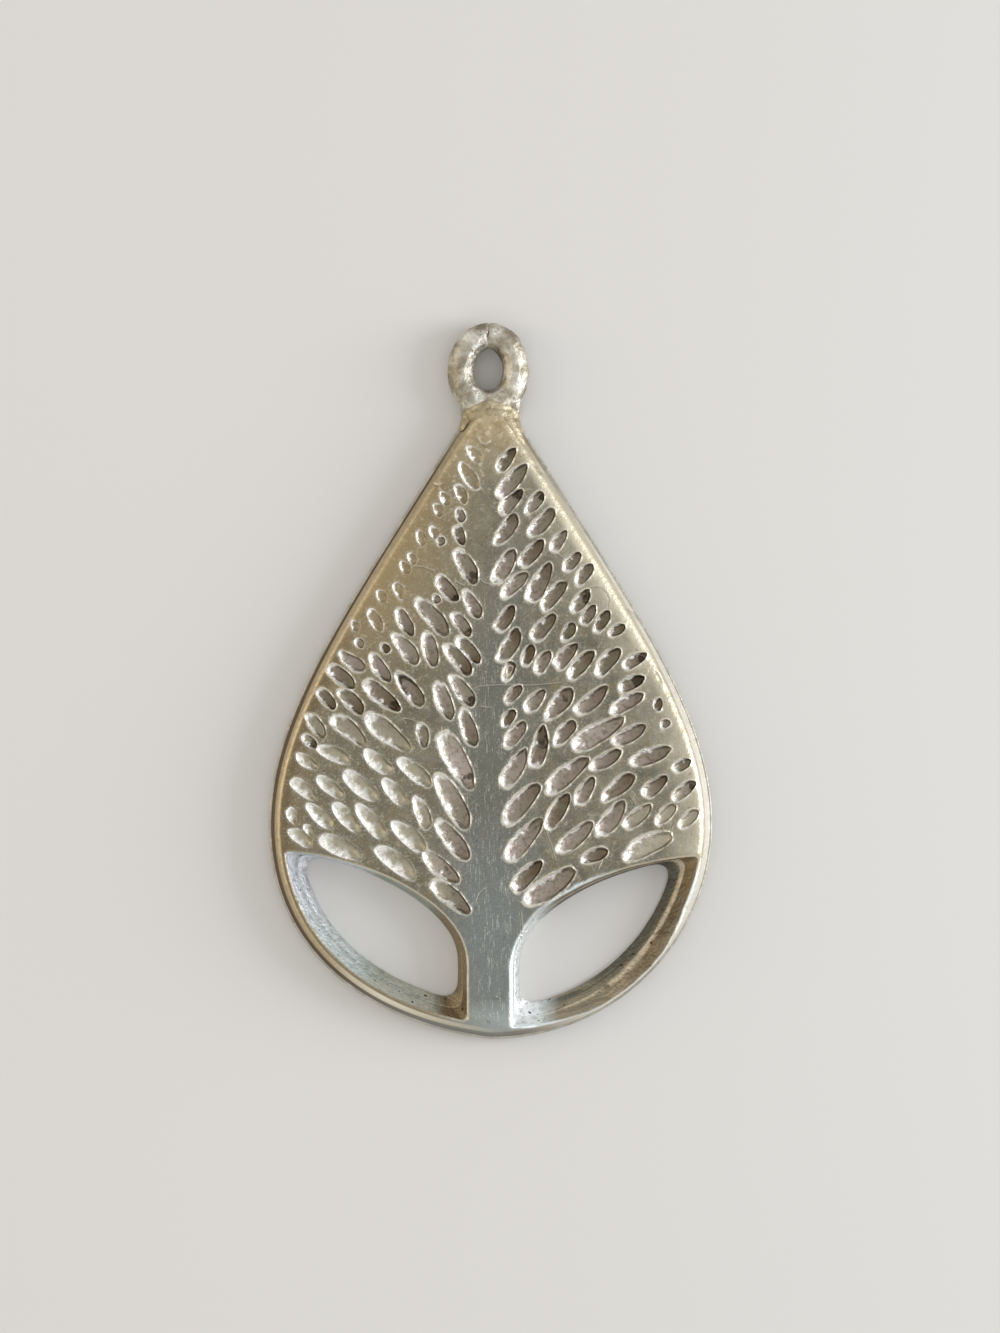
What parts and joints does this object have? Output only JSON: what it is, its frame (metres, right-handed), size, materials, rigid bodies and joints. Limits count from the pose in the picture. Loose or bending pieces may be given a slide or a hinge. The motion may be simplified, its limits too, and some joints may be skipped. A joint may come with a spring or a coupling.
{
  "type": "tree of life pendant",
  "caption": "Drop-shaped pewter pendant with a carved tree in relief, openings beside the trunk, a backing plate and a soldered hanging eye.",
  "frame": {"origin": "under the middle of the whole ornament's bounding box, on the flat back", "axes": "+Z looks out of the carved face, +Y points from the foot of the trunk to the eye, +X to the right seen from the front"},
  "size_m": [0.0322, 0.052, 0.0028],
  "materials": {
    "carved_pewter": "cast pewter with carved recesses, a warm and grey tarnish, fine scratches and burnished edges",
    "backing_pewter": "cast pewter, tumbled smooth, with a fine casting grain",
    "eye_pewter": "pewter wire worn bright, with file marks",
    "solder": "soft solder, lumpy and bright"
  },
  "bodies": {
    "root": {"tree_plate": "carved_pewter", "back_plate": "backing_pewter", "hanging_eye": "eye_pewter", "neck_solder_left": "solder", "neck_solder_right": "solder", "eye_seam_solder": "solder"}
  },
  "joints": []
}
